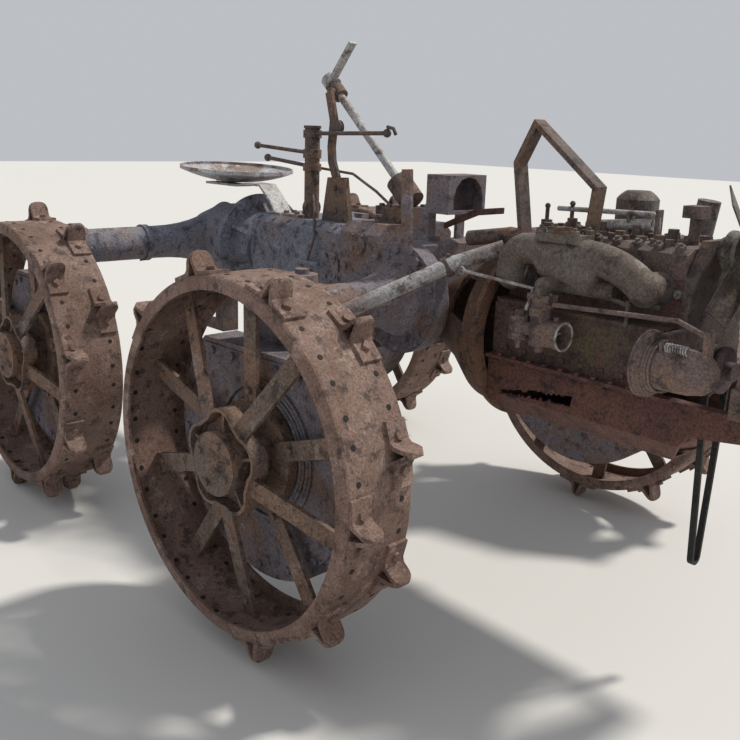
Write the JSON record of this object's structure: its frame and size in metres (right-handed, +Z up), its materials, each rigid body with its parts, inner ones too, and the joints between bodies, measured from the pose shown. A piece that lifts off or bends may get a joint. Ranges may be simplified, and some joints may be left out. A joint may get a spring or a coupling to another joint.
{
  "type": "four-wheel-drive row-crop tractor",
  "caption": "Rusty 1930s four-wheel-drive tractor on equal lugged steel wheels, engine hung ahead of the front axle, pressed seat at the rear, hood and tank missing.",
  "frame": {"origin": "middle of the ground area below the tractor, at the height of the lowest lug tips", "axes": "+X forwards towards the radiator, +Y to the driver's left, +Z up"},
  "size_m": [3.0338, 1.9838, 1.6737],
  "materials": {
    "frame_steel": "rusted, matt",
    "rusty_iron": "rusted, matt",
    "manifold_iron": "grey-brown, matt",
    "orange_iron": "orange rust, matt",
    "grey_iron": "blue-grey worn, matt",
    "bright_steel": "worn pale, half matt",
    "rim_steel": "pinkish brown rust, matt",
    "spoke_steel": "dark brown rust, matt",
    "dark_steel": "dark rust, matt",
    "seat_steel": "worn pale, half matt",
    "belt_rubber": "perished, matt"
  },
  "bodies": {
    "chassis": {"engine_frame": "frame_steel", "engine_block": "rusty_iron", "cylinder_head": "rusty_iron", "exhaust_manifold": "manifold_iron", "intake_manifold": "orange_iron", "carburettor": "manifold_iron", "governor": "rusty_iron", "front_plate": "dark_steel", "distributor": "manifold_iron", "breather_dome": "manifold_iron", "radiator": "dark_steel", "crank_pulley": "dark_steel", "fan_belt": "belt_rubber", "clutch_housing": "orange_iron", "hood_bracket": "rusty_iron", "hood_strap": "dark_steel", "water_outlet": "dark_steel", "transmission_case": "rusty_iron", "front_axle_housing": "rusty_iron", "side_tube": "bright_steel", "side_bar": "rusty_iron", "joint_plate": "rusty_iron", "rear_case": "grey_iron", "rear_axle_housing": "grey_iron", "rear_gear_case_right": "rusty_iron", "rear_gear_case_left": "rusty_iron", "seat": "seat_steel", "seat_spring": "bright_steel", "lever_post": "dark_steel", "column_strut": "dark_steel", "steering_box": "dark_steel", "drawbar": "dark_steel"},
    "front_knuckle_right": {"front_gear_case_right": "rusty_iron"},
    "front_knuckle_left": {"front_gear_case_left": "rusty_iron"},
    "tie_rod": {"tie_rod": "dark_steel"},
    "steering": {"steering_shaft": "bright_steel"},
    "fan": {"fan": "dark_steel"},
    "wheel_front_right": {"rim_front_right": "rim_steel", "spider_front_right": "spoke_steel"},
    "wheel_front_left": {"rim_front_left": "rim_steel", "spider_front_left": "spoke_steel"},
    "wheel_rear_right": {"rim_rear_right": "rim_steel", "spider_rear_right": "spoke_steel"},
    "wheel_rear_left": {"rim_rear_left": "rim_steel", "spider_rear_left": "spoke_steel"}
  },
  "joints": [
    {"name": "steer_right", "type": "hinge", "parent": "chassis", "child": "front_knuckle_right", "pos_m": [0.34191, -0.60188, 0.88882], "axis": [0, 0, 1], "range_deg": [-28, 22]},
    {"name": "steer_left", "type": "hinge", "parent": "chassis", "child": "front_knuckle_left", "pos_m": [0.34191, 0.59812, 0.88882], "axis": [0, 0, 1], "range_deg": [-28, 22]},
    {"name": "tie_rod_pin", "type": "hinge", "parent": "front_knuckle_right", "child": "tie_rod", "pos_m": [0.14219, -0.61235, 0.69282], "axis": [0, 0, 1], "range_deg": [-22, 28]},
    {"name": "steering_turn", "type": "hinge", "parent": "chassis", "child": "steering", "pos_m": [0.10191, -0.00188, 1.20182], "axis": [-0.749, 0, 0.6626], "range_deg": [-336, 264]},
    {"name": "wheel_spin_front_right", "type": "hinge", "parent": "front_knuckle_right", "child": "wheel_front_right", "pos_m": [0.43625, -0.83526, 0.54382], "axis": [-0.0523, 0.9986, 0], "continuous": true},
    {"name": "wheel_spin_front_left", "type": "hinge", "parent": "front_knuckle_left", "child": "wheel_front_left", "pos_m": [0.41134, 0.84009, 0.54382], "axis": [-0.0523, 0.9986, 0], "continuous": true},
    {"name": "wheel_spin_rear_right", "type": "hinge", "parent": "chassis", "child": "wheel_rear_right", "pos_m": [-0.97309, -0.83988, 0.54382], "axis": [0, 1, 0], "continuous": true},
    {"name": "wheel_spin_rear_left", "type": "hinge", "parent": "chassis", "child": "wheel_rear_left", "pos_m": [-0.97309, 0.83612, 0.54382], "axis": [0, 1, 0], "continuous": true},
    {"name": "fan_spin", "type": "hinge", "parent": "chassis", "child": "fan", "pos_m": [1.28191, -0.00188, 1.12182], "axis": [1, 0, 0], "continuous": true}
  ],
  "couplings": [
    {"joint": "steer_left", "follows": "steer_right", "ratio": 1},
    {"joint": "tie_rod_pin", "follows": "steer_right", "ratio": -1},
    {"joint": "steering_turn", "follows": "steer_right", "ratio": 12}
  ]
}
